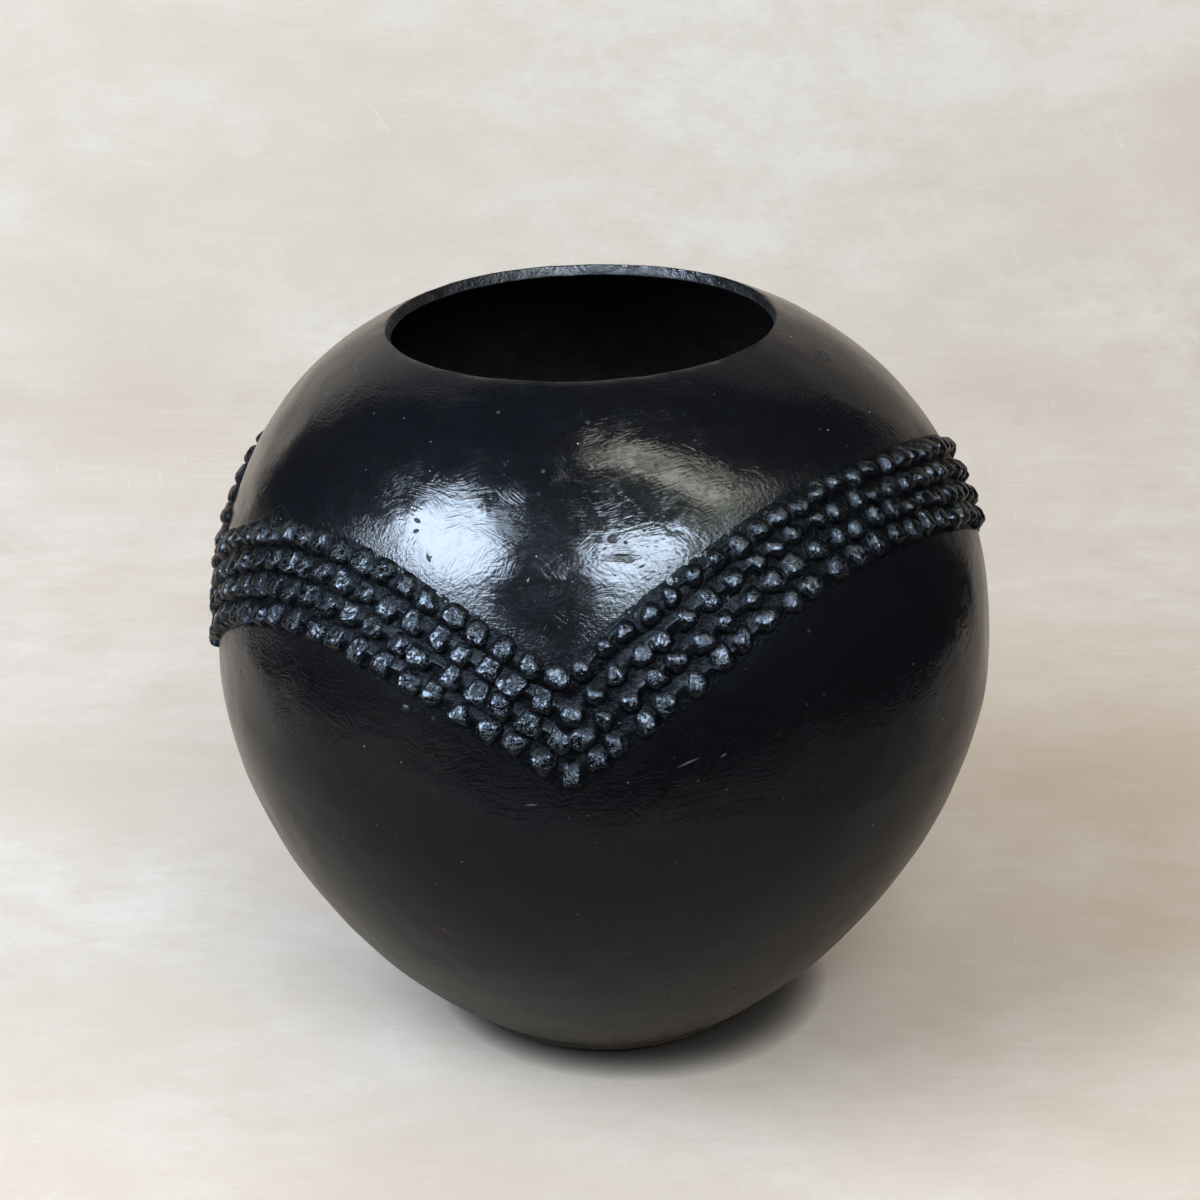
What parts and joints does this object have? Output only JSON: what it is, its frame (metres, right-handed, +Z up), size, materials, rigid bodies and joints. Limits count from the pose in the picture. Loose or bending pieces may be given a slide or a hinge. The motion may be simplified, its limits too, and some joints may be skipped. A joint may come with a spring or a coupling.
{
  "type": "clay pot",
  "caption": "Round blackened clay pot with a small flat foot, a full belly, a narrow open mouth and a zigzag band of raised clay pellets round its shoulder.",
  "frame": {"origin": "the middle of the flat foot that the pot stands on", "axes": "+Z up through the mouth, -Y towards the viewer of the picture, +X to the right; the mouth leans about 10 mm towards -X"},
  "size_m": [0.3242, 0.3256, 0.3057],
  "materials": {
    "burnished_clay": "smoke blackened, burnished and greased to a soft gloss",
    "pellet_clay": "smoke blackened, pinched by hand, half gloss on the tops and dull between them"
  },
  "bodies": {
    "root": {"base": "burnished_clay", "wall_coil_1": "burnished_clay", "wall_coil_2": "burnished_clay", "wall_coil_3": "burnished_clay", "wall_coil_4": "burnished_clay", "wall_coil_5": "burnished_clay", "wall_coil_6": "burnished_clay", "rim_coil": "burnished_clay", "band_arm_1_row_1": "pellet_clay", "band_arm_1_row_2": "pellet_clay", "band_arm_1_row_3": "pellet_clay", "band_arm_1_row_4": "pellet_clay", "band_arm_2_row_1": "pellet_clay", "band_arm_2_row_2": "pellet_clay", "band_arm_2_row_3": "pellet_clay", "band_arm_2_row_4": "pellet_clay", "band_arm_3_row_1": "pellet_clay", "band_arm_3_row_2": "pellet_clay", "band_arm_3_row_3": "pellet_clay", "band_arm_3_row_4": "pellet_clay", "band_arm_4_row_1": "pellet_clay", "band_arm_4_row_2": "pellet_clay", "band_arm_4_row_3": "pellet_clay", "band_arm_4_row_4": "pellet_clay", "band_arm_5_row_1": "pellet_clay", "band_arm_5_row_2": "pellet_clay", "band_arm_5_row_3": "pellet_clay", "band_arm_5_row_4": "pellet_clay", "band_arm_6_row_1": "pellet_clay", "band_arm_6_row_2": "pellet_clay", "band_arm_6_row_3": "pellet_clay", "band_arm_6_row_4": "pellet_clay", "band_arm_7_row_1": "pellet_clay", "band_arm_7_row_2": "pellet_clay", "band_arm_7_row_3": "pellet_clay", "band_arm_7_row_4": "pellet_clay", "band_arm_8_row_1": "pellet_clay", "band_arm_8_row_2": "pellet_clay", "band_arm_8_row_3": "pellet_clay", "band_arm_8_row_4": "pellet_clay"}
  },
  "joints": []
}
